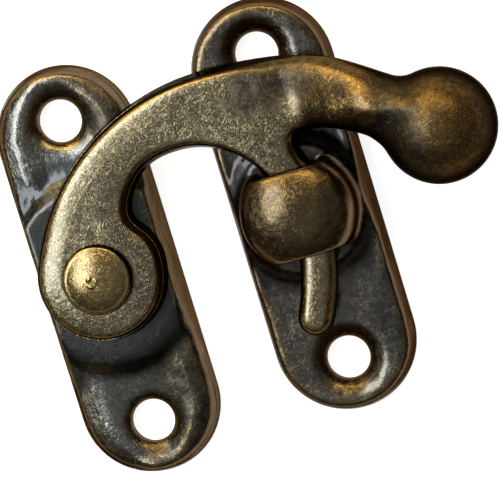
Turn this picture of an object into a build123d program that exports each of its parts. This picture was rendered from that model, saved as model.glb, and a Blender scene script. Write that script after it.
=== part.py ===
from build123d import *
import os
from math import acos, asin, atan2, cos, degrees, hypot, radians, sin, sqrt, tan

# Swing-arm latch for a small box or cabinet, in millimetres.
# The origin is on the pivot axis, at the backs of the two base plates.
# X runs from the pivot plate to the keeper plate, Y along the plates, Z out of the cabinet.

# Base plates, both cast alike
PLATE_LENGTH = 28.3
PLATE_WIDTH = 9.6
PARTING_HEIGHT = 0.15
RIM_HEIGHT = 1.95
PAD_HEIGHT = 2.4
CASTING_DRAFT = 13.0
RIM_WIDTH = 0.78
RIM_ROUNDING = 0.35
TRAY_ROUNDING = 0.6
PAD_SIDE_INSET = 0.03
PAD_EDGE_ROUNDING = 0.18
RISER_WIDTH = 1.25
RISER_RUNOUT = 0.1
SCREW_SPACING = 21.0
SCREW_HOLE_DIAMETER = 2.85
SCREW_HOLE_LAND = 0.5
SCREW_HOLE_DRAFT = 13.0

# Pivot plate
PIVOT_PAD_RADIUS = 6.1
PIVOT_TRAY_DEPTH = 0.42
PIVOT_DISH_RADIUS = 2.3
PIVOT_DISH_DEPTH = 0.4

# Keeper plate, its middle line set inside the finger's path
KEEPER_LEAD = 0.6
KEEPER_OFFSET = 0.55
KEEPER_PAD_RADIUS = 4.2
KEEPER_TRAY_DEPTH = 0.14
KEEPER_DISH_RADIUS = 2.7
KEEPER_DISH_DEPTH = 0.62

# Keeper bridge on its plate
BRIDGE_RADIUS = 3.8
BRIDGE_FOOT_RADIUS = 4.12
BRIDGE_FLARE_RISE = 1.3
BRIDGE_WALL_RISE = 0.4
BRIDGE_CROWN_RISE = 2.3
BRIDGE_LENGTH = 5.8
BRIDGE_EDGE_ROUNDING = 0.45
TUNNEL_WIDTH = 4.3
TUNNEL_CORNER_RADIUS = 1.1

# Swing arm
ARM_THICKNESS = 2.0
ARM_WALL_LEAN = 0.36
ARM_WALL_LAND = 0.15
ARM_EDGE_ROUNDING = 0.42
ARM_BASE_ROUNDING = 0.1
EYE_RADIUS = 4.4
ARCH_OUTER_RADIUS = 15.2
ARCH_TOP = 11.1
ARCH_SHOULDER_RADIUS = 30.0
ARCH_INNER_TOP = 6.5
ARCH_INNER_RADIUS = 5.55
ARCH_INNER_CORNER = (4.35, 5.55)
ARCH_INNER_LEFT = 3.16
ARCH_INNER_LEFT_Y = 3.5
EYE_RETURN_ANGLE = -12
THROAT_TO_NECK = 0.425
HOOK_INNER_Y = 5.4
HOOK_CORNER_RADIUS = 0.6
HOOK_LIP_LENGTH = 1.13
HORN_ROOT_OVERLAP = 0.3
HORN_ROOT_INSET = 0.03
HORN_HEIGHT = 4.6
BALL_RADIUS = 3.8
BALL_REACH = 8.45
BALL_Y = 3.45

# Horn sections: reach past its root, centre y and z, heading in degrees, width, height, corner radius
HORN_SECTIONS = (
    (1.6, 7.65, 3.95, -18, 4.8, 3.0, 1.35),
    (3.5, 6.8, 4.45, -29, 4.4, 4.1, 1.95),
    (5.7, 5.4, HORN_HEIGHT, -34, 4.2, 4.2, 2.05),
    (7.7, 4.0, HORN_HEIGHT, -34, 4.2, 4.2, 2.05),
)

# Collar where the horn's neck meets the ball: distances from the ball's middle, and radii
COLLAR_HEADING = -34
COLLAR_START = (4.6, 1.9)
COLLAR_WAIST = (3.7, 2.17)
COLLAR_END = (2.7, 2.6)

# Finger, an arc about the pivot axis
FINGER_PATH_RADIUS = 14.5
FINGER_WIDTH = 2.45
FINGER_ROUNDING = 0.85
FINGER_TIP_ANGLE = -26.5
FINGER_ROOT_ANGLE = 13.0
NECK_END_ANGLE = 5.5

# Rivet that carries the arm
RIVET_SHANK_DIAMETER = 2.2
RIVET_HEAD_DIAMETER = 4.65
RIVET_HEAD_EDGE = 0.25
RIVET_HEAD_ROUNDING = 0.35
RIVET_HEAD_HEIGHT = 1.05
RIVET_TAIL_DIAMETER = 3.4
RIVET_TAIL_DEPTH = 0.7
RIVET_TAIL_RECESS = 0.1

# Clearances
ARM_BORE_CLEARANCE = 0.05
ARM_FACE_CLEARANCE = 0.05
RIVET_SEAT_CLEARANCE = 0.02
TUNNEL_ROOF_CLEARANCE = 0.4

ARM_BOTTOM = PAD_HEIGHT + ARM_FACE_CLEARANCE
ARM_TOP = ARM_BOTTOM + ARM_THICKNESS
TUNNEL_ROOF = ARM_TOP + TUNNEL_ROOF_CLEARANCE
HEAD_BOTTOM = ARM_TOP + ARM_FACE_CLEARANCE
ARM_MIDDLE = (ARM_BOTTOM + ARM_TOP) / 2
BRIDGE_FLARE_TOP = PAD_HEIGHT + BRIDGE_FLARE_RISE
BRIDGE_SHOULDER_HEIGHT = BRIDGE_FLARE_TOP + BRIDGE_WALL_RISE
BRIDGE_CROWN_HEIGHT = BRIDGE_SHOULDER_HEIGHT + BRIDGE_CROWN_RISE
FINGER_OUTER = FINGER_PATH_RADIUS + FINGER_WIDTH / 2
FINGER_INNER = FINGER_PATH_RADIUS - FINGER_WIDTH / 2
KEEPER_SPACING = FINGER_PATH_RADIUS - KEEPER_LEAD
ARCH_INNER_X = FINGER_INNER - THROAT_TO_NECK - ARCH_INNER_RADIUS
HOOK_X = sqrt(FINGER_OUTER**2 - HOOK_INNER_Y**2)
HORN_ROOT_X = HOOK_X + HOOK_LIP_LENGTH
BALL_MIDDLE = (HORN_ROOT_X + BALL_REACH, BALL_Y, HORN_HEIGHT)
ARCH_CENTRE_Y = ARCH_TOP - ARCH_OUTER_RADIUS
ARCH_CENTRE_X = sqrt((ARCH_OUTER_RADIUS - EYE_RADIUS) ** 2 - ARCH_CENTRE_Y**2)
HORN_ROOT_Y = ARCH_TOP - (HORN_ROOT_X - ARCH_CENTRE_X) ** 2 / (2 * ARCH_SHOULDER_RADIUS)


def slot_prism(length, width, z_start, z_end, draft):
    """An obround block along Y whose wall leans in from z_start to z_end."""
    outline = Pos(0, 0, z_start) * SlotOverall(length, width, rotation=90)
    upward = 1 if z_end > z_start else -1
    return extrude(outline, amount=abs(z_end - z_start), dir=(0, 0, upward), taper=draft)


def revolved(profile):
    """A solid turned about the Z axis from a closed profile in the XZ plane."""
    return revolve(make_face(Plane.XZ * profile), axis=Axis.Z)


def pad_column(radius, floor):
    """The round column that bounds the middle pad, with a soft riser down to the tray floor."""
    foot = radius + RISER_WIDTH
    base = -1.0
    top = PAD_HEIGHT + 1.0
    profile = Polyline((0, base), (foot, base), (foot, floor - RISER_RUNOUT))
    profile += Spline(
        (foot, floor - RISER_RUNOUT),
        (radius + RISER_WIDTH * 0.35, (PAD_HEIGHT + floor) / 2),
        (radius, PAD_HEIGHT),
        tangents=[(-1, 0.4), (-0.4, 1)],
    )
    profile += Polyline((radius, PAD_HEIGHT), (radius, top), (0, top), (0, base))
    return revolved(profile)


def dish(radius, depth, floor):
    """The cutter for one screw seat: a soft bowl and its hole, cored wider towards the back."""
    hole = SCREW_HOLE_DIAMETER / 2
    bottom = floor - depth
    land = bottom - SCREW_HOLE_LAND
    back = hole + (land + 1) * tan(radians(SCREW_HOLE_DRAFT))
    top = PAD_HEIGHT + 1
    bowl = Spline((hole, bottom), (radius, floor + 0.1 * depth), tangents=[(1, 0.1), (1, 0.6)])
    profile = Polyline((0, -1), (back, -1), (hole, land), (hole, bottom))
    profile += bowl + Polyline(bowl @ 1, (radius, top), (0, top), (0, -1))
    return revolved(profile)


def base_plate(pad_radius, tray_depth, dish_radius, dish_depth):
    """One cast plate: rounded rim, sunken trays, dished screw seats and the raised pad."""
    floor = RIM_HEIGHT - tray_depth
    rim_block = slot_prism(PLATE_LENGTH, PLATE_WIDTH, PARTING_HEIGHT, RIM_HEIGHT, CASTING_DRAFT)
    rim_block = fillet(rim_block.edges().group_by(Axis.Z)[-1], RIM_ROUNDING)
    pad_width = PLATE_WIDTH - 2 * PAD_SIDE_INSET
    pad_block = slot_prism(PLATE_LENGTH, pad_width, PARTING_HEIGHT, PAD_HEIGHT, CASTING_DRAFT)
    back_block = slot_prism(PLATE_LENGTH, PLATE_WIDTH, PARTING_HEIGHT, 0, CASTING_DRAFT)
    column = pad_column(pad_radius, floor)
    pad = pad_block & column
    pad = fillet(pad.edges().group_by(Axis.Z)[-1], PAD_EDGE_ROUNDING)

    tray_length = PLATE_LENGTH - 2 * RIM_WIDTH - 2 * tray_depth
    tray_width = PLATE_WIDTH - 2 * RIM_WIDTH - 2 * tray_depth
    trays = slot_prism(tray_length, tray_width, floor, PAD_HEIGHT + 1, -45)
    trays = fillet(trays.edges().group_by(Axis.Z)[0], TRAY_ROUNDING) - column

    plate = back_block + (rim_block - trays) + pad
    for side in (1, -1):
        plate -= Pos(0, side * SCREW_SPACING / 2, 0) * dish(dish_radius, dish_depth, floor)
    return plate


def pivot_plate():
    """The plate under the arm's eye, bored and countersunk behind for the rivet."""
    plate = base_plate(PIVOT_PAD_RADIUS, PIVOT_TRAY_DEPTH, PIVOT_DISH_RADIUS, PIVOT_DISH_DEPTH)
    shank = RIVET_SHANK_DIAMETER / 2 + RIVET_SEAT_CLEARANCE
    tail = RIVET_TAIL_DIAMETER / 2 + RIVET_SEAT_CLEARANCE
    seat_depth = RIVET_TAIL_DEPTH + RIVET_SEAT_CLEARANCE
    over = PAD_HEIGHT + 1
    seat = Polyline(
        (0, -1), (tail, -1), (tail, RIVET_TAIL_RECESS), (shank, seat_depth), (shank, over), (0, over), (0, -1)
    )
    return plate - revolved(seat)


def pivot_rivet():
    """The domed rivet: flared tail, plain shank and a low head with a rounded rim."""
    shank = RIVET_SHANK_DIAMETER / 2
    tail = RIVET_TAIL_DIAMETER / 2
    rim = RIVET_HEAD_DIAMETER / 2
    rim_top = HEAD_BOTTOM + RIVET_HEAD_EDGE
    shoulder = (rim - RIVET_HEAD_ROUNDING, rim_top + RIVET_HEAD_ROUNDING)
    crown = HEAD_BOTTOM + RIVET_HEAD_HEIGHT
    profile = Polyline(
        (0, RIVET_TAIL_RECESS),
        (tail, RIVET_TAIL_RECESS),
        (shank, RIVET_TAIL_DEPTH),
        (shank, HEAD_BOTTOM),
        (rim, HEAD_BOTTOM),
        (rim, rim_top),
    )
    profile += RadiusArc((rim, rim_top), shoulder, -RIVET_HEAD_ROUNDING)
    profile += Spline(shoulder, (0, crown), tangents=[(-1, 0.5), (-1, 0)])
    profile += Line((0, crown), (0, RIVET_TAIL_RECESS))
    return revolved(profile)


def polar(radius, angle):
    """A point at a radius and an angle in degrees about the pivot axis."""
    return (radius * cos(radians(angle)), radius * sin(radians(angle)))


def arc_about(centre, radius, angles):
    """An arc through three points of a circle, given by their angles in degrees."""
    points = [(centre[0] + polar(radius, a)[0], centre[1] + polar(radius, a)[1]) for a in angles]
    return ThreePointArc(*points)


def arm_outline():
    """The plan of the flat arm: eye, arch and neck, cut square where the horn carries on."""
    leave_angle = degrees(atan2(-ARCH_CENTRE_Y, -ARCH_CENTRE_X))
    throat = (ARCH_INNER_X, ARCH_INNER_TOP - ARCH_INNER_RADIUS)
    hook_angle = degrees(asin(HOOK_INNER_Y / FINGER_OUTER))
    neck_angles = (hook_angle, (hook_angle + NECK_END_ANGLE) / 2, NECK_END_ANGLE)

    arch = arc_about((ARCH_CENTRE_X, ARCH_CENTRE_Y), ARCH_OUTER_RADIUS, (leave_angle, 122, 90))
    shoulder = TangentArc(arch @ 1, (HORN_ROOT_X, HORN_ROOT_Y), tangent=(1, 0))
    hook_lip = Polyline(shoulder @ 1, (HORN_ROOT_X, HOOK_INNER_Y), (HOOK_X, HOOK_INNER_Y))
    neck = arc_about((0, 0), FINGER_OUTER, neck_angles)
    neck_foot = Vector(*polar(FINGER_INNER, NECK_END_ANGLE))
    to_foot = neck_foot - Vector(*throat)
    leave_throat = degrees(atan2(to_foot.Y, to_foot.X) + acos(ARCH_INNER_RADIUS / to_foot.length))
    throat_arc = arc_about(throat, ARCH_INNER_RADIUS, (leave_throat, 60, 90))
    neck_side = Polyline(neck @ 1, neck_foot, throat_arc @ 0)
    eye = arc_about((0, 0), EYE_RADIUS, (EYE_RETURN_ANGLE, -107, leave_angle - 360))
    inner_side = Spline(
        throat_arc @ 1,
        ARCH_INNER_CORNER,
        (ARCH_INNER_LEFT, ARCH_INNER_LEFT_Y),
        eye @ 0,
        tangents=[(-1, 0), eye % 0],
    )
    return arch + shoulder + hook_lip + neck + neck_side + throat_arc + inner_side + eye


def at_open_end(edge):
    """Whether an edge lies across the arm where the horn or the finger carries on."""
    middle = edge @ 0.5
    across_neck = middle.X * sin(radians(NECK_END_ANGLE)) - middle.Y * cos(radians(NECK_END_ANGLE))
    at_neck = abs(across_neck) < 0.01 and middle.X > FINGER_INNER / 2
    return at_neck or abs(middle.X - HORN_ROOT_X) < 0.01


def arm_blank():
    """The flat part of the arm: walls that lean in above a straight land, and soft top edges."""
    blank = extrude(Pos(0, 0, ARM_BOTTOM) * make_face(arm_outline()), amount=ARM_THICKNESS)
    corner = blank.edges().filter_by(Axis.Z).sort_by_distance((HOOK_X, HOOK_INNER_Y, ARM_MIDDLE))[0]
    blank = fillet(corner, HOOK_CORNER_RADIUS)
    face = blank.faces().sort_by(Axis.Z)[-1]
    rim = [e for e in face.edges() if not at_open_end(e)]
    blank = chamfer(rim, ARM_WALL_LEAN, ARM_THICKNESS - ARM_WALL_LAND, reference=face)
    face = blank.faces().sort_by(Axis.Z)[-1]
    rim = [e for e in face.edges() if not at_open_end(e)]
    return fillet(rim, ARM_EDGE_ROUNDING)


def finger():
    """The finger that slides under the bridge, an arc about the pivot with a rounded tip."""
    angles = (FINGER_ROOT_ANGLE, (FINGER_ROOT_ANGLE + FINGER_TIP_ANGLE) / 2, FINGER_TIP_ANGLE)
    outer = arc_about((0, 0), FINGER_OUTER, angles)
    inner = arc_about((0, 0), FINGER_INNER, angles[::-1])
    tip_middle = polar(FINGER_PATH_RADIUS, FINGER_TIP_ANGLE)
    tip_angles = (FINGER_TIP_ANGLE, FINGER_TIP_ANGLE - 90, FINGER_TIP_ANGLE - 180)
    tip = arc_about(tip_middle, FINGER_WIDTH / 2, tip_angles)
    outline = outer + tip + inner + Line(inner @ 1, outer @ 0)
    bar = extrude(Pos(0, 0, ARM_BOTTOM) * make_face(outline), amount=ARM_THICKNESS)
    rims = bar.edges().group_by(Axis.Z)[-1] + bar.edges().group_by(Axis.Z)[0]
    return fillet([e for e in rims if e.geom_type != GeomType.LINE], FINGER_ROUNDING)


def horn_root_section():
    """The arm's own section where the horn leaves it: leaning walls, soft above, sharp below."""
    low = -ARM_THICKNESS / 2 + HORN_ROOT_INSET
    high = ARM_THICKNESS / 2 - HORN_ROOT_INSET
    half = (HORN_ROOT_Y - HOOK_INNER_Y) / 2 - HORN_ROOT_INSET
    top = half - ARM_WALL_LEAN
    section = make_face(Polyline((-half, low), (half, low), (top, high), (-top, high), (-half, low)))
    section = fillet(section.vertices().group_by(Axis.Y)[0], ARM_BASE_ROUNDING)
    return fillet(section.vertices().group_by(Axis.Y)[-1], ARM_EDGE_ROUNDING)


def horn():
    """The horn, from the arm's flat section to a round neck inside the ball."""
    root_middle = (HORN_ROOT_X - HORN_ROOT_OVERLAP, (HORN_ROOT_Y + HOOK_INNER_Y) / 2, ARM_MIDDLE)
    rings = [Plane(origin=root_middle, x_dir=(0, 1, 0), z_dir=(1, 0, 0)) * horn_root_section()]
    for reach, y, z, heading, width, height, corner in HORN_SECTIONS:
        ahead = Vector(*polar(1, heading))
        across = Plane(origin=(HORN_ROOT_X + reach, y, z), x_dir=(-ahead.Y, ahead.X, 0), z_dir=ahead)
        rings.append(across * RectangleRounded(width, height, corner))
    return loft(rings)


def ball_collar():
    """The hollow sweep by which the horn's neck widens into the ball."""
    flare = Spline(COLLAR_START, COLLAR_WAIST, COLLAR_END, tangents=[(-1, 0.15), (-1, 0.85)])
    far, near = COLLAR_START[0], COLLAR_END[0]
    outline = Line((far, 0), COLLAR_START) + flare + Polyline(COLLAR_END, (near, 0), (far, 0))
    back = polar(1, COLLAR_HEADING + 180)
    axis = Plane(origin=BALL_MIDDLE, x_dir=(*back, 0), z_dir=(0, 0, 1))
    return revolve(axis * make_face(outline), axis=Axis(BALL_MIDDLE, (*back, 0)))


def swing_arm():
    """The arm in one casting: eye, arch, neck, finger, horn and ball."""
    ball = Pos(*BALL_MIDDLE) * Sphere(BALL_RADIUS)
    bore_radius = RIVET_SHANK_DIAMETER / 2 + ARM_BORE_CLEARANCE
    bore = Pos(0, 0, ARM_MIDDLE) * Cylinder(bore_radius, 2 * ARM_THICKNESS)
    return arm_blank() + finger() + (horn() + ball_collar() + ball) - bore


def keeper_bridge():
    """The bridge: a round domed boss with flat ends, hollowed into an arch on two flared feet."""
    sunk = PARTING_HEIGHT
    foot = Polyline((0, sunk), (BRIDGE_FOOT_RADIUS, sunk), (BRIDGE_FOOT_RADIUS, PAD_HEIGHT))
    flare = Spline(foot @ 1, (BRIDGE_RADIUS, BRIDGE_FLARE_TOP), tangents=[(-0.6, 0.5), (0, 1)])
    wall = Line(flare @ 1, (BRIDGE_RADIUS, BRIDGE_SHOULDER_HEIGHT))
    haunch = (BRIDGE_RADIUS * sqrt(0.5), BRIDGE_SHOULDER_HEIGHT + BRIDGE_CROWN_RISE * sqrt(0.5))
    crown = Spline(wall @ 1, haunch, (0, BRIDGE_CROWN_HEIGHT), tangents=[(0, 1), (-1, 0)])
    boss = revolved(foot + flare + wall + crown + Line(crown @ 1, (0, sunk)))
    boss &= Box(3 * BRIDGE_RADIUS, BRIDGE_LENGTH, 3 * BRIDGE_CROWN_HEIGHT)
    ends = []
    for face in boss.faces().filter_by(Axis.Y):
        ends += face.edges().filter_by(lambda e: (e @ 0.5).Z > BRIDGE_SHOULDER_HEIGHT)
    boss = fillet(ends, BRIDGE_EDGE_ROUNDING)
    tunnel = Pos(0, 0, TUNNEL_ROOF / 2) * Box(TUNNEL_WIDTH, 2 * BRIDGE_LENGTH, TUNNEL_ROOF)
    roof_edges = tunnel.edges().filter_by(Axis.Y).group_by(Axis.Z)[-1]
    return boss - fillet(roof_edges, TUNNEL_CORNER_RADIUS)


def keeper_plate():
    """The plate with the bridge that holds the finger."""
    plate = base_plate(KEEPER_PAD_RADIUS, KEEPER_TRAY_DEPTH, KEEPER_DISH_RADIUS, KEEPER_DISH_DEPTH)
    return Pos(KEEPER_SPACING, KEEPER_OFFSET, 0) * (plate + keeper_bridge())


PARTS = {
    "pivot_plate": pivot_plate,
    "pivot_rivet": pivot_rivet,
    "swing_arm": swing_arm,
    "keeper_plate": keeper_plate,
}

if __name__ == "__main__":
    os.makedirs("parts", exist_ok=True)
    for name, make in PARTS.items():
        solid = make()
        solid.label = name
        export_step(solid, f"parts/{name}.step")
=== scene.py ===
import bpy
import numpy as np
from mathutils import Matrix, Vector
from mathutils.kdtree import KDTree


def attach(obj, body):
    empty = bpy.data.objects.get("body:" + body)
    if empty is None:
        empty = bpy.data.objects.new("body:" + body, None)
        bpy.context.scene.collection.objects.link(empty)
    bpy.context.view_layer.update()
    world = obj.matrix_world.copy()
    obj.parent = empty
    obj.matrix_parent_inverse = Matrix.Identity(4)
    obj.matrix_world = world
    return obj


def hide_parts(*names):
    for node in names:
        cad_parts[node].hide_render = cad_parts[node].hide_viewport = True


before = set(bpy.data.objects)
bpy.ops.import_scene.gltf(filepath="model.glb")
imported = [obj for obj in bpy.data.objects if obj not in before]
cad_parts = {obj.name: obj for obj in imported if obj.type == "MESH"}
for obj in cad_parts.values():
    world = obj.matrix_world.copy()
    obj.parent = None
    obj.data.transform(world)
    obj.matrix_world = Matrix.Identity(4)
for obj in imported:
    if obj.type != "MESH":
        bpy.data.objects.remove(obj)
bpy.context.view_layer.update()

# Camera at the photograph's viewing angle
CAMERA_PLACE = Vector((0.0398, 0.01808, 0.18515))
CAMERA_RIGHT = Vector((0.9483, -0.2919, -0.1245))
CAMERA_UP = Vector((0.2737, 0.9509, -0.1447))
CAMERA_BACK = Vector((0.1606, 0.1031, 0.9816))
CAMERA_LENS = 204.03

# The lamps stand round this place on the latch, all at one distance
LIT_PLACE = Vector((0.009, 0.003, 0.003))
LAMP_DISTANCE = 0.2
WARM = (1.0, 0.74, 0.3)
COOL = (0.88, 0.95, 1.0)

# The share of its own light that keeps the floor white
FLOOR_GLOW = 0.85

# The castings are worked on in millimetres and brought back to metres when they are done
MILLIMETRE = 0.001

# How finely they are meshed, how near two points count as one, and how many steps a weight has
CASTING_GRID = 0.1
RIVET_GRID = 0.05
SAME_POINT = 0.002
WEIGHT_STEPS = 20

# The plates: half their width, and how far out their end arcs and screw holes have their middles
PLATE_HALF_WIDTH = 4.8
END_ARC_MIDDLE = 9.35
SCREW_HOLE_MIDDLE = 10.5

# Where the keeper plate has its middle
KEEPER_X = 13.9
KEEPER_Y = 0.55

# Where the arm's walls are measured, and what counts as far inside them
ARM_WALL_LEVEL = 3.15
FAR_INSIDE = 9.0

# The ring on the rivet: its middle, radius, the width of its line and its height
RING_MIDDLE = (-0.22, 0.02)
RING_RADIUS = 0.3
RING_LINE = 0.09
RING_HEIGHT = 0.09

PI = 3.1416
FULL_TURN = 6.283

# Short scratches: cell scale, grain across and along each mark, and a shift for each layer
SCRATCH_LAYERS = (
    (1.6, 12.0, 1.6, 3.1),
    (2.6, 15.0, 3.6, 17.7),
    (3.6, 20.0, 5.0, 41.3),
)

# What every casting may store at its points for the finish: the rivet has the first three
# The fifth note is painted shade: it darkens places where shade falls and dims reflections there.
SURFACE_NOTES = ("edge", "hollow", "wall", "bare", "soot", "matte")

# Colours and strengths of each finish: dark is the patina colour, also used for painted shade; side
# is painted shade and reflection on steep walls; gold is the colour of bare brass, also laid on
# slopes as a painted sheen
FINISHES = {
    "pivot_plate_brass": {
        "metal": (0.1, 0.103, 0.096), "worn": (0.28, 0.2, 0.085), "dark": (0.018, 0.019, 0.019),
        "side": (0.15, 0.112, 0.076), "gold": (0.12, 0.087, 0.04),
        "patina": 0.3, "scratches": 0.9, "lacquer": 0.3,
    },
    "keeper_brass": {
        "metal": (0.085, 0.077, 0.064), "worn": (0.26, 0.185, 0.08), "dark": (0.014, 0.012, 0.011),
        "side": (0.13, 0.095, 0.065), "gold": (0.085, 0.056, 0.022),
        "patina": 0.35, "scratches": 0.9, "lacquer": 0.25,
    },
    "arm_brass": {
        "metal": (0.122, 0.102, 0.062), "worn": (0.4, 0.27, 0.1), "dark": (0.024, 0.02, 0.014),
        "side": (0.034, 0.025, 0.016), "gold": (0.105, 0.066, 0.023),
        "patina": 0.27, "scratches": 1.35, "lacquer": 0.25,
    },
    "rivet_brass": {
        "metal": (0.18, 0.133, 0.06), "worn": (0.42, 0.29, 0.11), "dark": (0.055, 0.04, 0.022),
        "side": (0.03, 0.022, 0.012), "gold": (0.18, 0.12, 0.045),
        "patina": 0.15, "scratches": 0.8, "lacquer": 0.1,
    },
}


def rise(values, low, high):
    """A soft step from 0 at low to 1 at high."""
    t = np.clip((values - low) / (high - low), 0, 1)
    return t * t * (3 - 2 * t)


def band(values, start, full, fade, end):
    """A soft plateau: 0 at start, 1 from full to fade, 0 again at end."""
    return rise(values, start, full) * (1 - rise(values, fade, end))


def spot(x, y, middle, reach):
    """A soft spot, 1 in its middle, with its own reach along X and Y."""
    return np.exp(-(((x - middle[0]) / reach[0]) ** 2) - ((y - middle[1]) / reach[1]) ** 2)


def inside_outline(x, y):
    """How far each point lies inside an obround plate's outline, measured from its middle."""
    return PLATE_HALF_WIDTH - np.hypot(x, np.maximum(np.abs(y) - END_ARC_MIDDLE, 0))


def select_only(piece):
    bpy.ops.object.select_all(action="DESELECT")
    piece.select_set(True)
    bpy.context.view_layer.objects.active = piece


def apply_modifier(piece, kind, **settings):
    """Adds one modifier with its settings and applies it."""
    select_only(piece)
    modifier = piece.modifiers.new(kind.title(), kind)
    for key, value in settings.items():
        setattr(modifier, key, value)
    bpy.ops.object.modifier_apply(modifier=modifier.name)


def casting_blank(node, name, grid):
    """A closed, evenly meshed copy of a CAD node, in millimetres."""
    piece = bpy.data.objects.new(name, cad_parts[node].data.copy())
    piece.data.materials.clear()
    bpy.context.scene.collection.objects.link(piece)
    piece.data.transform(Matrix.Scale(1 / MILLIMETRE, 4))
    select_only(piece)
    bpy.ops.object.mode_set(mode="EDIT")
    bpy.ops.mesh.select_all(action="SELECT")
    bpy.ops.mesh.remove_doubles(threshold=SAME_POINT)
    bpy.ops.object.mode_set(mode="OBJECT")
    apply_modifier(piece, "REMESH", mode="VOXEL", voxel_size=grid, use_smooth_shade=True)
    return piece


def points_of(piece):
    points = np.empty(len(piece.data.vertices) * 3)
    piece.data.vertices.foreach_get("co", points)
    return points.reshape(-1, 3)


def normals_of(piece):
    normals = np.empty(len(piece.data.vertices) * 3)
    piece.data.vertex_normals.foreach_get("vector", normals)
    return normals.reshape(-1, 3)


def apply_where(piece, weights, kind, **settings):
    """Applies one modifier where the weights say so, through a passing vertex group."""
    group = piece.vertex_groups.new(name="where")
    steps = np.round(np.clip(weights, 0, 1) * WEIGHT_STEPS).astype(int)
    for step in range(1, WEIGHT_STEPS + 1):
        members = np.flatnonzero(steps == step).tolist()
        if members:
            group.add(members, step / WEIGHT_STEPS, "REPLACE")
    apply_modifier(piece, kind, vertex_group=group.name, **settings)
    piece.vertex_groups.remove(piece.vertex_groups["where"])


def soften(piece, weights, passes):
    """Rounds the casting's edges, as tumbling does."""
    apply_where(piece, weights, "SMOOTH", factor=0.5, iterations=passes)


def push(piece, weights, lift):
    """Raises the surface along Z."""
    apply_where(piece, weights, "DISPLACE", strength=lift, mid_level=0.0, direction="Z")


def undulate(piece, weights, feature, depth):
    """Shallow uneven places over the cast surface."""
    texture = bpy.data.textures.new(piece.name + "_uneven", "CLOUDS")
    texture.noise_scale = feature
    texture.noise_depth = 2
    apply_where(
        piece, weights, "DISPLACE", texture=texture, strength=depth, mid_level=0.5,
        texture_coords="LOCAL", direction="NORMAL",
    )


def store(piece, name, values):
    layer = piece.data.attributes.new(name, "FLOAT", "POINT")
    layer.data.foreach_set("value", values.astype(np.float32))


def measure_hollows(piece, passes, reach, name):
    """Stores how far each point lies below, or above as a minus, a smoothed surface."""
    mesh = piece.data
    points = points_of(piece)
    ends = np.empty(len(mesh.edges) * 2, dtype=np.int64)
    mesh.edges.foreach_get("vertices", ends)
    a, b = ends.reshape(-1, 2).T
    count = len(points)
    links = np.bincount(a, minlength=count) + np.bincount(b, minlength=count)
    smooth = points.copy()
    for _ in range(passes):
        for axis in range(3):
            near = np.bincount(a, smooth[b, axis], count) + np.bincount(b, smooth[a, axis], count)
            smooth[:, axis] = 0.5 * smooth[:, axis] + 0.5 * near / links
    below = ((smooth - points) * normals_of(piece)).sum(axis=1)
    store(piece, name, np.clip(below / reach, -1, 1))


def measure_walls(piece, lit_upper_side):
    """Stores how steep the surface stands, 0 flat and 1 upright, lowered on +Y-facing sides by the
    given share, so that these sides show as a painted lit side rather than the painted wall shade.
    """
    _, away, upward = normals_of(piece).T
    steep = 1 - np.abs(upward)
    store(piece, "wall", steep * (1 - lit_upper_side * rise(away, 0.1, 0.5) * rise(upward, -0.3, 0.1)))


def finish_casting(piece, node, body, finish, lit_upper_side=0.0):
    """Brings a finished casting back to metres and puts it in the CAD node's place."""
    measure_hollows(piece, 8, 0.03, "edge")
    measure_hollows(piece, 90, 0.25, "hollow")
    measure_walls(piece, lit_upper_side)
    piece.data.transform(Matrix.Scale(MILLIMETRE, 4))
    piece.data.materials.append(bpy.data.materials[finish])
    select_only(piece)
    bpy.ops.object.shade_smooth()
    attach(piece, body)
    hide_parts(node)


class Wiring:
    """Short ways to add and join the nodes of one material or group."""

    def __init__(self, tree):
        self.tree = tree

    def add(self, kind, settings=(), **inputs):
        item = self.tree.nodes.new(kind)
        for key, value in dict(settings).items():
            setattr(item, key, value)
        for key, value in inputs.items():
            self.feed(item.inputs[key.replace("_", " ")], value)
        return item

    def feed(self, socket, value):
        if isinstance(value, bpy.types.NodeSocket):
            self.tree.links.new(value, socket)
        else:
            socket.default_value = value

    def math(self, operation, first, second, clamp=False):
        item = self.tree.nodes.new("ShaderNodeMath")
        item.operation = operation
        item.use_clamp = clamp
        self.feed(item.inputs[0], first)
        self.feed(item.inputs[1], second)
        return item.outputs[0]

    def plus(self, first, second, clamp=False):
        return self.math("ADD", first, second, clamp)

    def times(self, first, second, clamp=False):
        return self.math("MULTIPLY", first, second, clamp)

    def swing(self, noise, strength):
        """Noise moved to swing about zero."""
        return self.times(self.math("SUBTRACT", noise, 0.5), strength)

    def blend(self, factor, first, second, mode="MIX"):
        item = self.tree.nodes.new("ShaderNodeMix")
        item.data_type = "RGBA"
        item.blend_type = mode
        self.feed(item.inputs[0], factor)
        self.feed(item.inputs[6], first)
        self.feed(item.inputs[7], second)
        return item.outputs[2]

    def ramp(self, value, low, high, to_low=0.0, to_high=1.0):
        item = self.tree.nodes.new("ShaderNodeMapRange")
        item.interpolation_type = "SMOOTHSTEP"
        for index, setting in enumerate((value, low, high, to_low, to_high)):
            self.feed(item.inputs[index], setting)
        return item.outputs[0]


def new_group(name, inputs, outputs):
    """An empty shader group with its sockets: its wiring, what it is given and what it gives."""
    tree = bpy.data.node_groups.new(name, "ShaderNodeTree")
    for label, kind in inputs:
        tree.interface.new_socket(label, in_out="INPUT", socket_type="NodeSocket" + kind)
    for label, kind in outputs:
        tree.interface.new_socket(label, in_out="OUTPUT", socket_type="NodeSocket" + kind)
    given = tree.nodes.new("NodeGroupInput").outputs
    gives = tree.nodes.new("NodeGroupOutput").inputs
    return Wiring(tree), given, gives


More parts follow.
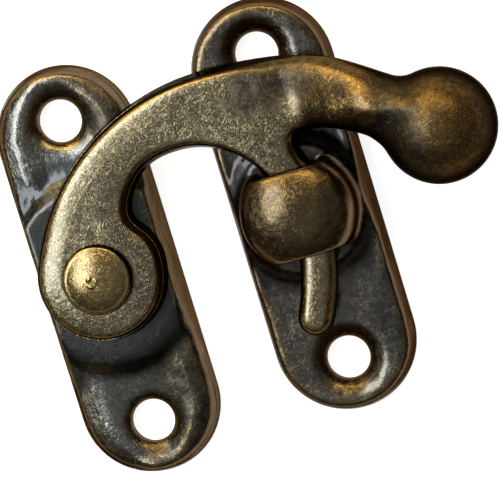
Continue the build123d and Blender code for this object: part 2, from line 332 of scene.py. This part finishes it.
def short_scratches_group():
    """Dense short tumbling marks: stretched grain that turns anew in each small cell."""
    w, given, gives = new_group(
        "Short scratches", (("Place", "Vector"), ("Density", "Float")), (("Mask", "Float"),)
    )
    total = None
    for cell_scale, across, along, shift in SCRATCH_LAYERS:
        moved = w.add("ShaderNodeVectorMath", {"operation": "ADD"})
        w.feed(moved.inputs[0], given["Place"])
        moved.inputs[1].default_value = (shift, shift * 0.7, shift * 0.3)
        cells = w.add("ShaderNodeTexVoronoi", Vector=moved.outputs[0], Scale=cell_scale)
        chance = w.add("ShaderNodeSeparateColor", Color=cells.outputs["Color"])
        turned = w.add(
            "ShaderNodeVectorRotate", {"rotation_type": "Z_AXIS"},
            Vector=moved.outputs[0], Angle=w.times(chance.outputs[0], FULL_TURN),
        )
        drawn = w.add("ShaderNodeMapping", Vector=turned.outputs[0], Scale=(along, across, across))
        streaks = w.add("ShaderNodeTexNoise", Vector=drawn.outputs[0], Scale=1.0, Detail=1.0)
        strength = w.ramp(chance.outputs[1], 0.1, 0.9, 0.25, 1.0)
        mask = w.times(w.ramp(streaks.outputs[0], 0.55, 0.72), strength)
        total = mask if total is None else w.math("MAXIMUM", total, mask)
    w.feed(gives["Mask"], w.times(total, given["Density"], clamp=True))


def aged_casting_group():
    """Antique brass on a casting: patina dark in hollows, clouded and pitted, with painted shade from
    its stored note, a painted golden sheen on slopes and painted wall shade on steep sides.
    """
    notes = [(note.title(), "Float") for note in SURFACE_NOTES]
    colours = [(label, "Color") for label in ("Metal", "Worn", "Dark", "Side", "Gold")]
    w, given, gives = new_group(
        "Aged casting",
        [("Place", "Vector"), ("Scratch", "Float"), ("Patina", "Float")] + notes + colours,
        (("Color", "Color"), ("Roughness", "Float"), ("Height", "Float"), ("Lacquer", "Float")),
    )

    def noise(scale, detail, roughness):
        item = w.add(
            "ShaderNodeTexNoise", Vector=given["Place"],
            Scale=scale, Detail=detail, Roughness=roughness,
        )
        return item.outputs[0]

    cloud = noise(0.5, 4.0, 0.6)
    mottle = noise(2.6, 5.0, 0.65)
    grain = noise(9.0, 3.0, 0.6)
    pores = w.add("ShaderNodeTexVoronoi", Vector=given["Place"], Scale=4.2)
    pore_kind = w.add("ShaderNodeSeparateColor", Color=pores.outputs["Color"])
    pore_depth = w.ramp(pores.outputs["Distance"], 0.1, 0.28, 1.0, 0.0)
    pore = w.times(pore_depth, w.ramp(pore_kind.outputs[0], 0.62, 0.7))

    # Patina in the hollows, plus the painted shade stored at each point.
    hollow_patina_and_painted_shade = w.plus(w.times(given["Hollow"], 0.9), given["Soot"])
    clouded = w.plus(given["Patina"], w.swing(cloud, 1.1))
    dark = w.plus(clouded, w.plus(w.swing(mottle, 1.5), hollow_patina_and_painted_shade), clamp=True)
    dark = w.math("MAXIMUM", dark, w.times(pore, 0.8))
    crest = w.plus(w.times(given["Edge"], -1.0), w.swing(mottle, 0.9))
    worn = w.times(w.ramp(crest, 0.2, 0.9), 0.55)
    steep = w.plus(given["Wall"], w.swing(mottle, 0.4))

    # Gently sloping places take the gold colour as a painted sheen; bare places take it as worn
    # brass.
    golden = w.math("MAXIMUM", w.ramp(steep, 0.03, 0.2), given["Bare"])
    colour = w.blend(golden, given["Metal"], given["Gold"])
    colour = w.blend(dark, colour, given["Dark"])
    paler = w.blend(1.0, colour, (2.6, 2.5, 2.25, 1), "MULTIPLY")
    colour = w.blend(w.times(given["Scratch"], 0.8), colour, paler)
    colour = w.blend(worn, colour, given["Worn"])
    # Steep walls take the side colour: painted shade and reflection, dark on the arm and rivet.
    w.feed(gives["Color"], w.blend(w.ramp(steep, 0.2, 0.42), colour, given["Side"]))

    rubbed_off = w.plus(w.times(given["Matte"], 4.0), w.times(given["Bare"], 0.75))
    polished = w.math("SUBTRACT", 1.0, rubbed_off, clamp=True)
    w.feed(gives["Lacquer"], w.times(w.ramp(steep, 0.08, 0.22, 1.0, 0.0), polished))

    rough = w.plus(w.ramp(dark, 0.0, 1.0, 0.14, 0.24), w.swing(grain, 0.14))
    w.feed(gives["Roughness"], w.plus(rough, given["Matte"]))

    height = w.plus(w.times(mottle, 0.9), w.times(grain, 0.3))
    height = w.math("SUBTRACT", height, w.times(pore, 0.45))
    w.feed(gives["Height"], w.math("SUBTRACT", height, w.times(given["Scratch"], 0.2)))


def antique_brass(name, look):
    """One casting's finish, from the shared groups."""
    material = bpy.data.materials.new(name)
    material.use_nodes = True
    w = Wiring(material.node_tree)
    shader = material.node_tree.nodes["Principled BSDF"]
    shader.inputs["Metallic"].default_value = 1.0
    shader.inputs["Specular Tint"].default_value = (0.2, 0.17, 0.14, 1)
    shader.inputs["Coat Roughness"].default_value = 0.12
    shader.inputs["Coat IOR"].default_value = 1.8
    where = w.add("ShaderNodeTexCoord")
    place = w.add("ShaderNodeMapping", Vector=where.outputs["Object"], Scale=(1 / MILLIMETRE,) * 3)
    marks = w.add(
        "ShaderNodeGroup", {"node_tree": bpy.data.node_groups["Short scratches"]},
        Place=place.outputs[0], Density=look["scratches"],
    )
    cast = w.add(
        "ShaderNodeGroup", {"node_tree": bpy.data.node_groups["Aged casting"]},
        Place=place.outputs[0], Scratch=marks.outputs["Mask"], Patina=look["patina"],
    )
    for note in SURFACE_NOTES:
        stored = w.add("ShaderNodeAttribute", {"attribute_name": note})
        w.feed(cast.inputs[note.title()], stored.outputs["Fac"])
    for label in ("metal", "worn", "dark", "side", "gold"):
        cast.inputs[label.title()].default_value = (*look[label], 1)
    bump = w.add("ShaderNodeBump", Height=cast.outputs["Height"], Strength=0.6, Distance=0.00005)
    w.feed(shader.inputs["Base Color"], cast.outputs["Color"])
    w.feed(shader.inputs["Roughness"], cast.outputs["Roughness"])
    w.feed(shader.inputs["Coat Weight"], w.times(cast.outputs["Lacquer"], look["lacquer"]))
    w.feed(shader.inputs["Normal"], bump.outputs["Normal"])


def cast_pivot_plate():
    """The pivot plate: its rims and trays are softened more than the raised pad."""
    plate = casting_blank("pivot_plate", "pivot_plate_casting", CASTING_GRID)
    _, _, z = points_of(plate).T
    soften(plate, rise(z, 0.5, 1.2), 30)
    x, y, z = points_of(plate).T
    lower_side = rise(np.hypot(x, y), 4.9, 6.2) * (y < 0)
    upper_side = rise(y, 5.0, 6.6)
    soften(plate, rise(z, 0.7, 1.3) * np.maximum(lower_side, upper_side), 300)

    # The rims roll off, most at the lower left, and the trays rise beside them
    x, y, z = points_of(plate).T
    inward = inside_outline(x, y)
    sides = rise(np.abs(x), 0.6, 2.6) * rise(np.abs(y), 5.6, 7.4) * rise(z, 0.7, 1.2)
    push(plate, sides * (x > 0) * (1 - rise(inward, -0.2, 1.7)), -0.28)
    push(plate, sides * (x < 0) * (y > 0) * (1 - rise(inward, -0.1, 2.1)), -0.34)
    push(plate, sides * (x < 0) * (y < 0) * (1 - rise(inward, 0.2, 3.1)), -0.45)
    push(plate, sides * band(inward, 0.7, 1.7, 1.9, 3.2), 0.22)
    _, _, z = points_of(plate).T
    undulate(plate, band(z, 0.7, 1.3, 2.2, 2.35), 1.5, 0.08)

    x, y, _ = points_of(plate).T
    rim_bare = (1 - rise(inside_outline(x, y), 0.5, 2.0)) * (0.35 + 0.65 * rise(x - 0.4 * y, -4, 4))
    foot_bare = 0.9 * rise(-y + 0.4 * x, 10.6, 12.6)
    right_bare = 0.65 * rise(x, -0.5, 2.5)
    store(plate, "bare", np.maximum(np.maximum(rim_bare, foot_bare), right_bare))
    # Painted shade: the plate is darker on the pad under the arm except a patch at the lower left, on
    # the lower screw dish's lower slope, and on the rims of its +X side.
    right_rim = rise(x, 0.8, 3.0) * rise(np.abs(y), 6, 8)
    left_patch = spot(x, y, (-2.5, -6.9), (1.5, 1.7))
    from_pivot = np.hypot(x, y) - 1.2 * (y > 0)
    pad_painted_shade = 1.05 * (1 - rise(from_pivot, 6.2, 7.4)) * (1 - left_patch)
    foot_painted_shade = 0.45 * rise(-y, 11.3, 12.3) * (1 - rise(-y, 13.2, 14.0))
    store(plate, "soot", np.maximum(np.maximum(pad_painted_shade, foot_painted_shade), 0.55 * right_rim))
    store(plate, "matte", np.maximum(0.1 * left_patch, 0.12 * right_rim))
    finish_casting(plate, "pivot_plate", "base", "pivot_plate_brass")


def cast_keeper_plate():
    """The keeper plate: its bridge keeps its shape."""
    keeper = casting_blank("keeper_plate", "keeper_casting", CASTING_GRID)
    _, _, z = points_of(keeper).T
    soften(keeper, rise(z, 0.5, 1.2), 26)
    _, y, z = points_of(keeper).T
    soften(keeper, rise(z, 0.7, 1.3) * rise(np.abs(y - KEEPER_Y), 4.4, 5.8), 130)

    # The screw dishes' outer slope is filled a little, so that they turn down close to the holes
    x, y, z = points_of(keeper).T
    from_hole = np.hypot(x - KEEPER_X, np.abs(y - KEEPER_Y) - SCREW_HOLE_MIDDLE)
    push(keeper, band(from_hole, 1.5, 1.95, 2.1, 3.3) * rise(z, 0.6, 1.0), 0.08)
    _, _, z = points_of(keeper).T
    undulate(keeper, rise(z, 0.7, 1.3), 1.6, 0.08)

    x, y, z = points_of(keeper).T
    rim_bare = 0.8 * (1 - rise(inside_outline(x - KEEPER_X, y - KEEPER_Y), 0.4, 1.5))
    store(keeper, "bare", np.maximum(0.85 * rise(z, 3.0, 4.2), rim_bare))
    # Painted shade on the plate's low surface: darker around the middle under the bridge and towards
    # the +X side.
    middle_painted_shade = 0.7 * (1 - rise(np.abs(y - KEEPER_Y), 3.6, 6.0))
    right_painted_shade = 0.65 * rise(x, 15.6, 18.0)
    store(keeper, "soot", np.maximum(middle_painted_shade, right_painted_shade) * (1 - rise(z, 2.5, 3.4)))
    store(keeper, "matte", 0.1 * rise(x, 15.2, 17.0) * rise(y, 4.0, 6.0))
    finish_casting(keeper, "keeper_plate", "base", "keeper_brass")


def slope_off(piece):
    """Lets the arm's flat top fall away towards its outline, most on the eye's -X side."""
    spots = points_of(piece)
    x, y, z = spots.T
    walls = np.flatnonzero((z > 3.0) & (z < 3.3) & (np.hypot(x, y) > 2.2))
    tree = KDTree(len(walls))
    for index in walls:
        tree.insert(spots[index], int(index))
    tree.balance()
    inward = np.full(len(spots), FAR_INSIDE)
    for index in np.flatnonzero((z > 3.6) & (x < 13.0)):
        inward[index] = tree.find((x[index], y[index], ARM_WALL_LEVEL))[2]
    outer_side = 1 - rise(x + 0.2 * y, -2.4, 1.0)
    share = (0.4 + 0.6 * outer_side) * (1 - rise(x, 5.0, 9.0))
    push(piece, (1 - rise(inward, -0.4, 1.9)) * share, -0.3)


def shape_horn(piece):
    """Rounds the horn's outer flank and lets its crest climb smoothly into the ball."""
    x, y, _ = points_of(piece).T
    top = rise(normals_of(piece)[:, 2], 0.1, 0.6)
    flank = band(x, 13.6, 15.4, 20.8, 22.5) * rise(y + 0.25 * (x - 18.0), 6.6, 8.2)
    crest = band(x, 18.4, 21.0, 22.3, 23.8) * rise(y, 4.6, 5.8)
    push(piece, top * flank, -0.28)
    push(piece, top * crest, 0.45)
    soften(piece, top * band(x, 15.5, 16.5, 23.0, 24.5), 30)


def cast_arm():
    """The arm: its flat part stays true below, the horn is softened all round."""
    arm = casting_blank("swing_arm", "arm_casting", CASTING_GRID)
    x, y, z = points_of(arm).T
    top_side = rise(z, 2.9, 3.6) * rise(np.hypot(x, y), 1.3, 1.8)
    soften(arm, np.maximum(top_side, rise(x, 15.2, 16.4)), 60)
    slope_off(arm)
    x, _, z = points_of(arm).T
    horn_root = band(x, 12.6, 14.6, 17.5, 19.0) * rise(z, 3.4, 4.2)
    horn_neck = band(x, 16.5, 18.5, 21.2, 23.6) * (0.2 + 0.8 * rise(z, 4.4, 6.4))
    soften(arm, np.maximum(horn_root, horn_neck), 230)
    shape_horn(arm)

    x, y, _ = points_of(arm).T
    store(arm, "bare", rise(x, 13.5, 18.5))
    # Painted shade: darker on the eye's +X side, at the neck, on the horn-root crease except one
    # bright spot, along the horn and on the ball's near side.
    bright_spot = spot(x, y, (15.6, 7.6), (0.5, 0.8))
    crease = band(x, 11.0, 13.2, 16.5, 18.5) * rise(y, 6.6, 8.2) * (1 - bright_spot)
    eye_shade = 0.3 * rise(x, 0.6, 2.4) * (1 - rise(y, 1.5, 4.5)) * (1 - rise(x, 5.0, 6.0))
    neck_shade = 0.3 * spot(x, y, (13.3, 4.5), (1.5, 1.5))
    flat_shade = np.maximum(np.maximum(eye_shade, neck_shade), 0.6 * crease)
    horn_shade = 0.32 * rise(x, 15.0, 17.0) + 0.45 * band(x, 20.0, 21.5, 23.0, 24.5)
    store(arm, "soot", np.maximum(flat_shade, horn_shade))
    store(arm, "matte", np.maximum(0.15 * crease, 0.14 * rise(x, 20.0, 22.5)))
    # Along the horn, +Y-facing sides are spared the painted wall shade, a painted lit side.
    along_horn = rise(x, 12.5, 15.5) * (1 - 0.6 * rise(x, 22.0, 24.0))
    finish_casting(arm, "swing_arm", "arm", "arm_brass", 0.7 * along_horn)


def turn_rivet():
    """The rivet, with the small broken ring that its setting left near the middle."""
    rivet = casting_blank("pivot_rivet", "rivet_turned", RIVET_GRID)
    _, _, z = points_of(rivet).T
    soften(rivet, rise(z, 4.6, 4.8), 6)
    x, y, z = points_of(rivet).T
    across, along = x - RING_MIDDLE[0], y - RING_MIDDLE[1]
    ring = np.exp(-(((np.hypot(across, along) - RING_RADIUS) / RING_LINE) ** 2)) * (z > 5)
    broken = 0.55 + 0.45 * np.cos(3 * np.arctan2(along, across))
    push(rivet, ring * broken, RING_HEIGHT)
    finish_casting(rivet, "pivot_rivet", "base", "rivet_brass")


def add_camera():
    data = bpy.data.cameras.new("camera")
    data.lens = CAMERA_LENS
    data.sensor_width = 36
    data.clip_start = 0.01
    camera = bpy.data.objects.new("camera", data)
    bpy.context.scene.collection.objects.link(camera)
    turn = Matrix((CAMERA_RIGHT, CAMERA_UP, CAMERA_BACK)).transposed().to_4x4()
    camera.matrix_world = Matrix.Translation(CAMERA_PLACE) @ turn
    bpy.context.scene.camera = camera


def add_floor():
    """A plain pale floor, kept white by a share of its own light."""
    bpy.ops.object.select_all(action="DESELECT")
    bpy.ops.mesh.primitive_plane_add(size=2.0)
    floor = bpy.context.active_object
    floor.name = "floor"
    material = bpy.data.materials.new("floor_white")
    material.use_nodes = True
    w = Wiring(material.node_tree)
    nodes = material.node_tree.nodes
    nodes.remove(nodes["Principled BSDF"])
    paper = w.add("ShaderNodeBsdfDiffuse", Color=(0.5, 0.5, 0.5, 1))
    path = w.add("ShaderNodeLightPath")
    seen = w.math("MAXIMUM", path.outputs["Is Camera Ray"], path.outputs["Is Glossy Ray"])
    seen = w.math("MAXIMUM", seen, path.outputs["Is Transmission Ray"])
    glow = w.add("ShaderNodeEmission", Strength=w.times(seen, FLOOR_GLOW))
    both = w.add("ShaderNodeAddShader")
    w.feed(both.inputs[0], paper.outputs[0])
    w.feed(both.inputs[1], glow.outputs[0])
    w.feed(nodes["Material Output"].inputs["Surface"], both.outputs[0])
    floor.data.materials.append(material)


def add_lamp(name, across, upward, outward, width, height, radiance, colour):
    """A soft rectangular light, placed by the picture's own directions, facing the latch."""
    data = bpy.data.lights.new(name, "AREA")
    data.shape = "RECTANGLE"
    data.size = width
    data.size_y = height
    data.energy = radiance * PI * width * height
    data.color = colour
    lamp = bpy.data.objects.new(name, data)
    bpy.context.scene.collection.objects.link(lamp)
    away = (CAMERA_RIGHT * across + CAMERA_UP * upward + CAMERA_BACK * outward).normalized()
    side = (CAMERA_UP.cross(away)).normalized()
    turn = Matrix((side, away.cross(side), away)).transposed().to_4x4()
    lamp.matrix_world = Matrix.Translation(LIT_PLACE + away * LAMP_DISTANCE) @ turn


def add_studio_light():
    """A dim surround, paler overhead, a long and a small warm light above, a cool one at the left."""
    world = bpy.data.worlds.new("studio")
    world.use_nodes = True
    w = Wiring(world.node_tree)
    sky = w.add("ShaderNodeTexCoord")
    lean = w.add("ShaderNodeVectorMath", {"operation": "DOT_PRODUCT"})
    w.feed(lean.inputs[0], sky.outputs["Generated"])
    lean.inputs[1].default_value = (-0.1, 0.15, 0.98)
    overhead = w.ramp(lean.outputs["Value"], 0.25, 1.0)
    shade = w.blend(overhead, (0.06, 0.042, 0.026, 1), (0.56, 0.57, 0.56, 1))
    w.feed(world.node_tree.nodes["Background"].inputs["Color"], shade)
    bpy.context.scene.world = world
    add_lamp("warm_light", -0.28, 0.74, 0.61, 0.3, 0.045, 8.5, WARM)
    add_lamp("low_warm_light", -0.62, 0.6, 0.5, 0.08, 0.06, 7.0, WARM)
    add_lamp("cool_light", -0.68, 0.03, 0.73, 0.085, 0.18, 9.0, COOL)


short_scratches_group()
aged_casting_group()
for finish, look in FINISHES.items():
    antique_brass(finish, look)
cast_pivot_plate()
cast_keeper_plate()
cast_arm()
turn_rivet()
add_camera()
add_floor()
add_studio_light()
bpy.context.scene.view_settings.view_transform = "Standard"
